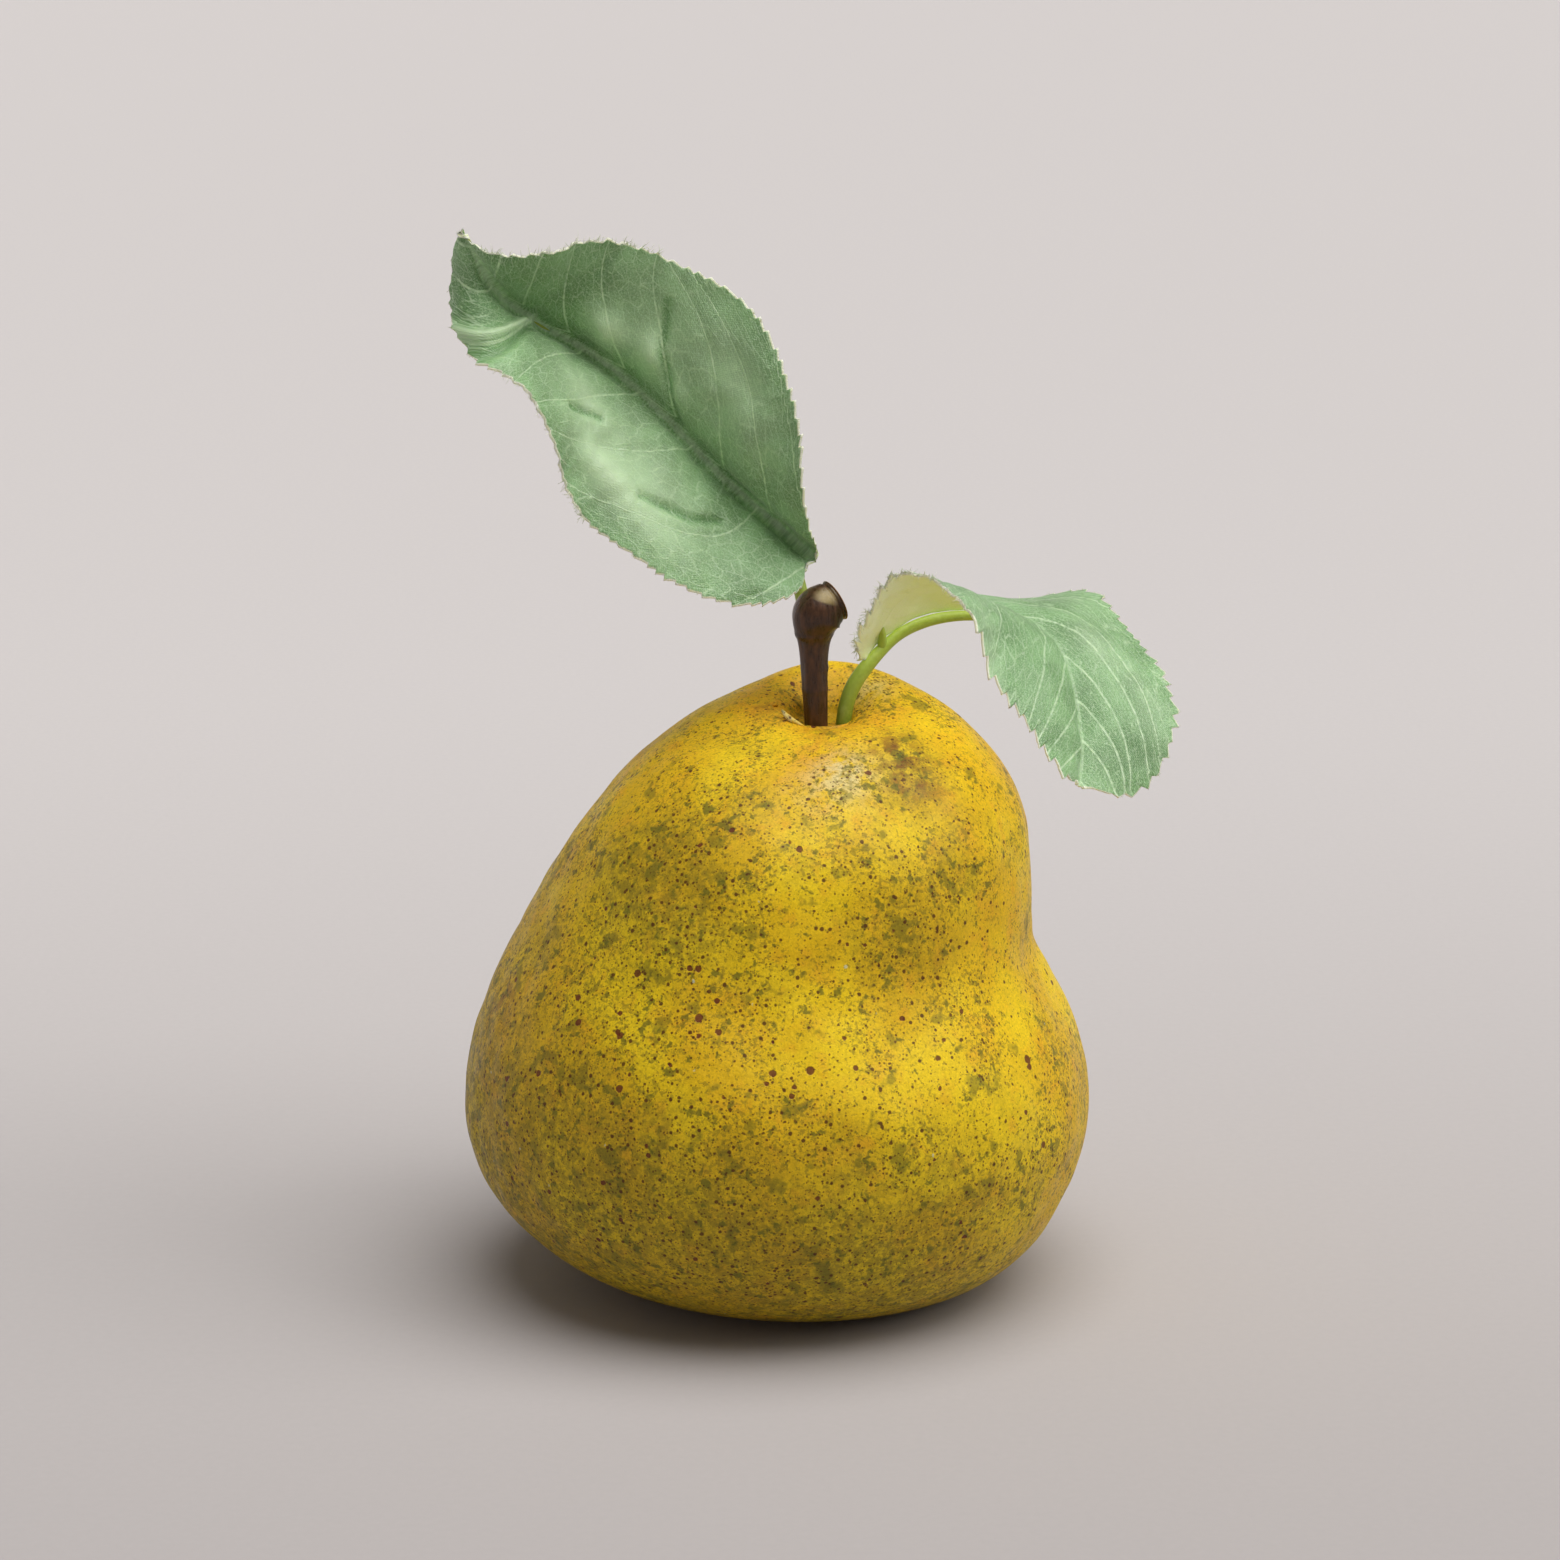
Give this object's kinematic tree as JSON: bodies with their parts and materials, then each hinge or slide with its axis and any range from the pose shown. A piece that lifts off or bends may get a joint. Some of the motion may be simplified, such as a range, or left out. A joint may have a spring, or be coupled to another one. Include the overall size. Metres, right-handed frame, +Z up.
{
  "type": "artificial pear",
  "caption": "Decorative artificial pear with a flat spot to stand on, a short knobbed stem in its top pocket and curled fabric leaves on moulded green stalks.",
  "frame": {"origin": "centre of the rectangle that the whole object covers, on the plane it stands on", "axes": "+Z up through the stem, +X towards the lower right-hand leaf, -Y the front, where the pear's waist shows"},
  "size_m": [0.0906, 0.0798, 0.1382],
  "materials": {
    "painted_skin": "satin paint, yellow ochre with green blotches and brown specks",
    "stem_plastic": "moulded, satin, dark brown",
    "stalk_plastic": "moulded, satin, yellow green",
    "leaf_fabric": "printed green woven polyester with pale veins, cream behind, cut edges frayed",
    "dry_calyx": "dull, dark brown"
  },
  "bodies": {
    "root": {"pear_body": "painted_skin", "calyx": "dry_calyx", "stem": "stem_plastic", "leaf_stalk_left": "stalk_plastic", "leaf_left": "leaf_fabric", "leaf_stalk_right": "stalk_plastic", "leaf_right": "leaf_fabric"}
  },
  "joints": []
}
